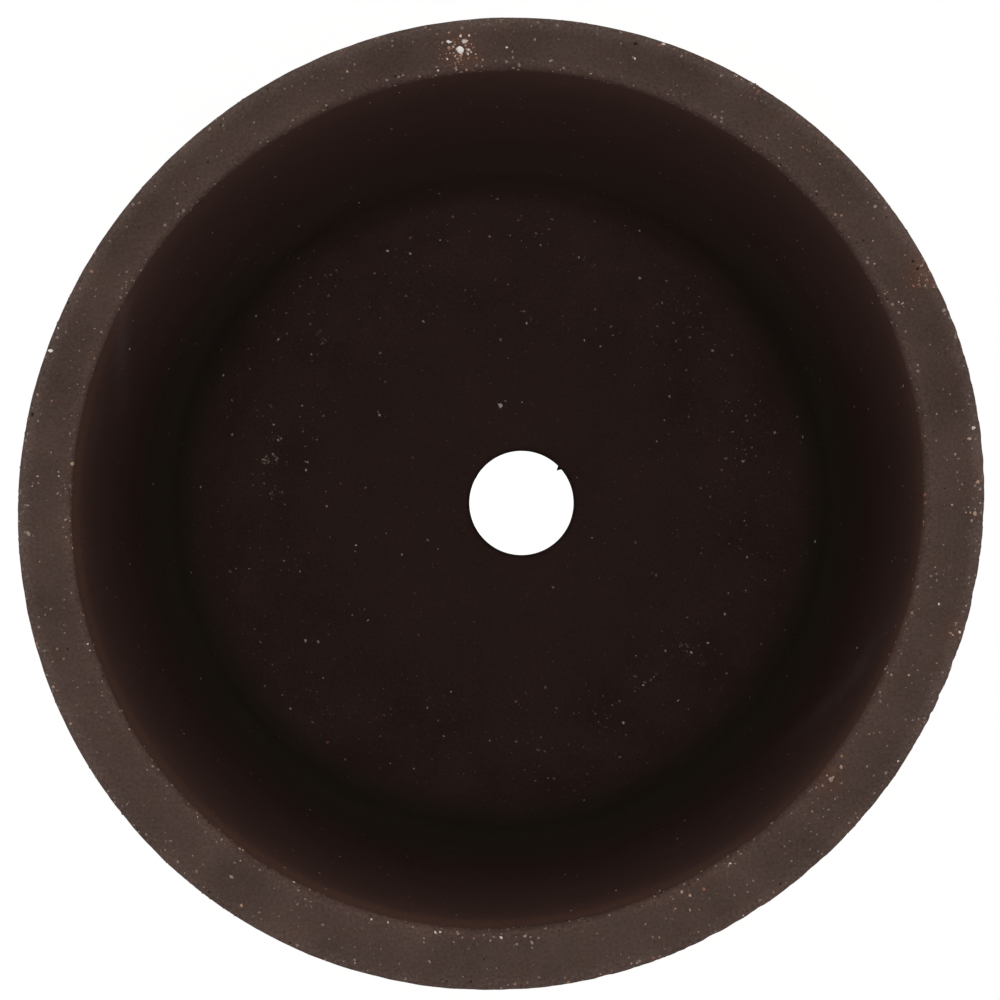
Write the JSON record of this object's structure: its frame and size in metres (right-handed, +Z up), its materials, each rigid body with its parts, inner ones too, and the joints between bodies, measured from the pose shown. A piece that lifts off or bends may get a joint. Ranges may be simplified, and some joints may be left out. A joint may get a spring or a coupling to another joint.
{
  "type": "flower pot",
  "caption": "Tapered round flower pot of unglazed dark brown fired clay, slightly out of round, with a thick flat rim and an off-centre drain hole in its floor.",
  "frame": {"origin": "centre of the flat base, on the surface that the pot stands on", "axes": "+Z up out of the mouth, +X from the middle of the floor towards the off-centre drain hole"},
  "size_m": [0.1992, 0.2004, 0.19],
  "materials": {
    "fired_clay": "matte"
  },
  "bodies": {
    "root": {"clay_pot": "fired_clay"}
  },
  "joints": []
}
